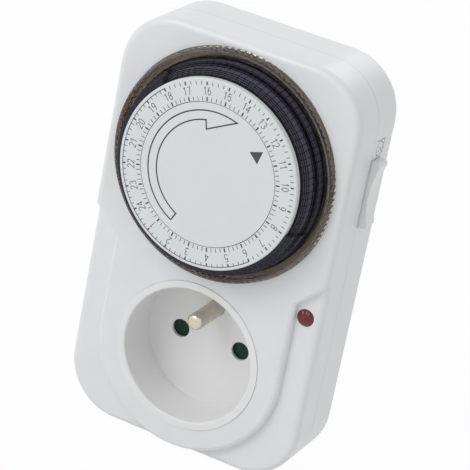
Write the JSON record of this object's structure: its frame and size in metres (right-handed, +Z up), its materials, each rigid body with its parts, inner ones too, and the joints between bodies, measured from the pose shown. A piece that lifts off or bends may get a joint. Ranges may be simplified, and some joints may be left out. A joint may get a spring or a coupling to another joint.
{
  "type": "plug-in timer switch",
  "caption": "Plug-in mechanical 24 hour timer with an earthed French socket, a dial with push-down tappets, a pilot lamp and a side override rocker.",
  "frame": {"origin": "centre of the plug's flat end, halfway between the two plug pins", "axes": "+X to the right as seen from the front, +Y from the front towards the wall, along the plug pins, +Z up; the socket and dial face -Y"},
  "size_m": [0.0746, 0.0714, 0.121],
  "materials": {
    "shell_white": "satin",
    "insert_white": "satin",
    "dial_white": "satin",
    "dark_plastic": "semi gloss",
    "smoky_plastic": "clear, ribbed",
    "shutter_green": "satin",
    "grey_plastic": "satin",
    "gear_plastic": "satin",
    "nickel": "nickel plated",
    "steel": "zinc plated",
    "brass": "plain",
    "lens_red": "clear",
    "lamp_glass": "clear",
    "brown_wire": "satin",
    "blue_wire": "satin"
  },
  "bodies": {
    "housing": {"front_housing": "shell_white", "rear_housing": "shell_white", "housing_screws": "steel", "socket_well": "insert_white", "plug_end": "shell_white", "earth_pin": "nickel", "earth_strap": "brass", "earth_clips": "nickel", "rear_earth_sleeve": "brass", "contact_carrier": "grey_plastic", "live_contact": "brass", "neutral_contact": "brass", "live_plug_pin": "nickel", "neutral_plug_pin": "nickel", "neutral_link": "brass", "mechanism_plate": "steel", "plate_screws": "steel", "centre_post": "steel", "centre_disc": "dial_white", "slow_axle": "steel", "middle_axle": "steel", "motor_can": "steel", "motor_cover": "grey_plastic", "motor_screws": "steel", "lever_pin": "steel", "switch_case": "dark_plastic", "switch_spring": "steel", "switch_leaf": "brass", "switch_terminals": "brass", "lamp_lens": "lens_red", "neon_lamp": "lamp_glass", "lamp_resistor": "brown_wire", "live_supply_wire": "brown_wire", "live_load_wire": "brown_wire", "motor_wires": "blue_wire", "lamp_wires": "blue_wire"},
    "dial": {"dial_wheel": "dark_plastic", "number_ring": "dial_white", "grip_ring": "smoky_plastic"},
    "slow_wheel": {"slow_wheel": "gear_plastic"},
    "middle_wheel": {"middle_wheel": "gear_plastic"},
    "motor_pinion": {"motor_pinion": "brass"},
    "follower_lever": {"follower_lever": "gear_plastic"},
    "switch_plunger": {"switch_plunger": "gear_plastic"},
    "override_rocker": {"override_rocker": "shell_white"},
    "shutter": {"shutter": "shutter_green", "shutter_spring": "steel"},
    "tappets_00_02": {"tappets_00_02": "dark_plastic"},
    "tappets_02_04": {"tappets_02_04": "dark_plastic"},
    "tappets_04_06": {"tappets_04_06": "dark_plastic"},
    "tappets_06_08": {"tappets_06_08": "dark_plastic"},
    "tappets_08_10": {"tappets_08_10": "dark_plastic"},
    "tappets_10_12": {"tappets_10_12": "dark_plastic"},
    "tappets_12_14": {"tappets_12_14": "dark_plastic"},
    "tappets_14_16": {"tappets_14_16": "dark_plastic"},
    "tappets_16_18": {"tappets_16_18": "dark_plastic"},
    "tappets_18_20": {"tappets_18_20": "dark_plastic"},
    "tappets_20_22": {"tappets_20_22": "dark_plastic"},
    "tappets_22_24": {"tappets_22_24": "dark_plastic"}
  },
  "joints": [
    {"name": "dial_spin", "type": "hinge", "parent": "housing", "child": "dial", "pos_m": [0, -0.0524, 0.0572], "axis": [0, 1, 0], "continuous": true},
    {"name": "slow_wheel_spin", "type": "hinge", "parent": "housing", "child": "slow_wheel", "pos_m": [-0.01608, -0.0348, 0.03423], "axis": [0, 1, 0], "continuous": true},
    {"name": "middle_wheel_spin", "type": "hinge", "parent": "housing", "child": "middle_wheel", "pos_m": [-0.01869, -0.033, 0.04904], "axis": [0, 1, 0], "continuous": true},
    {"name": "motor_pinion_spin", "type": "hinge", "parent": "housing", "child": "motor_pinion", "pos_m": [-0.01441, -0.0325, 0.06083], "axis": [0, 1, 0], "continuous": true},
    {"name": "push_00_02", "type": "slide", "parent": "dial", "child": "tappets_00_02", "axis": [0, 1, 0], "range_m": [0, 0.002]},
    {"name": "push_02_04", "type": "slide", "parent": "dial", "child": "tappets_02_04", "axis": [0, 1, 0], "range_m": [0, 0.002]},
    {"name": "push_04_06", "type": "slide", "parent": "dial", "child": "tappets_04_06", "axis": [0, 1, 0], "range_m": [0, 0.002]},
    {"name": "push_06_08", "type": "slide", "parent": "dial", "child": "tappets_06_08", "axis": [0, 1, 0], "range_m": [0, 0.002]},
    {"name": "push_08_10", "type": "slide", "parent": "dial", "child": "tappets_08_10", "axis": [0, 1, 0], "range_m": [-0.002, 0]},
    {"name": "push_10_12", "type": "slide", "parent": "dial", "child": "tappets_10_12", "axis": [0, 1, 0], "range_m": [-0.002, 0]},
    {"name": "push_12_14", "type": "slide", "parent": "dial", "child": "tappets_12_14", "axis": [0, 1, 0], "range_m": [-0.002, 0]},
    {"name": "push_14_16", "type": "slide", "parent": "dial", "child": "tappets_14_16", "axis": [0, 1, 0], "range_m": [-0.002, 0]},
    {"name": "push_16_18", "type": "slide", "parent": "dial", "child": "tappets_16_18", "axis": [0, 1, 0], "range_m": [-0.002, 0]},
    {"name": "push_18_20", "type": "slide", "parent": "dial", "child": "tappets_18_20", "axis": [0, 1, 0], "range_m": [0, 0.002]},
    {"name": "push_20_22", "type": "slide", "parent": "dial", "child": "tappets_20_22", "axis": [0, 1, 0], "range_m": [0, 0.002]},
    {"name": "push_22_24", "type": "slide", "parent": "dial", "child": "tappets_22_24", "axis": [0, 1, 0], "range_m": [0, 0.002]},
    {"name": "lever_swing", "type": "hinge", "parent": "housing", "child": "follower_lever", "pos_m": [0.02223, -0.0335, 0.05965], "axis": [1, 0, 0], "range_deg": [0, 7.4]},
    {"name": "plunger_press", "type": "slide", "parent": "housing", "child": "switch_plunger", "axis": [0, 1, 0], "range_m": [-0.001, 0], "deforming": ["switch_spring"]},
    {"name": "rocker_tilt", "type": "hinge", "parent": "housing", "child": "override_rocker", "pos_m": [0.032, -0.0274, 0.058], "axis": [0, 1, 0], "range_deg": [-4, 0]},
    {"name": "shutter_turn", "type": "hinge", "parent": "housing", "child": "shutter", "pos_m": [0, -0.02645, 0], "axis": [0, 1, 0], "range_deg": [0, 42], "stiffness_Nm_per_rad": 0.002, "springref_deg": -20.05}
  ],
  "couplings": [
    {"joint": "slow_wheel_spin", "follows": "dial_spin", "ratio": -6},
    {"joint": "middle_wheel_spin", "follows": "dial_spin", "ratio": 30},
    {"joint": "motor_pinion_spin", "follows": "dial_spin", "ratio": -120},
    {"joint": "lever_swing", "follows": "push_10_12", "rad_per_m": -64.1},
    {"joint": "plunger_press", "follows": "push_10_12", "ratio": 0.45}
  ]
}
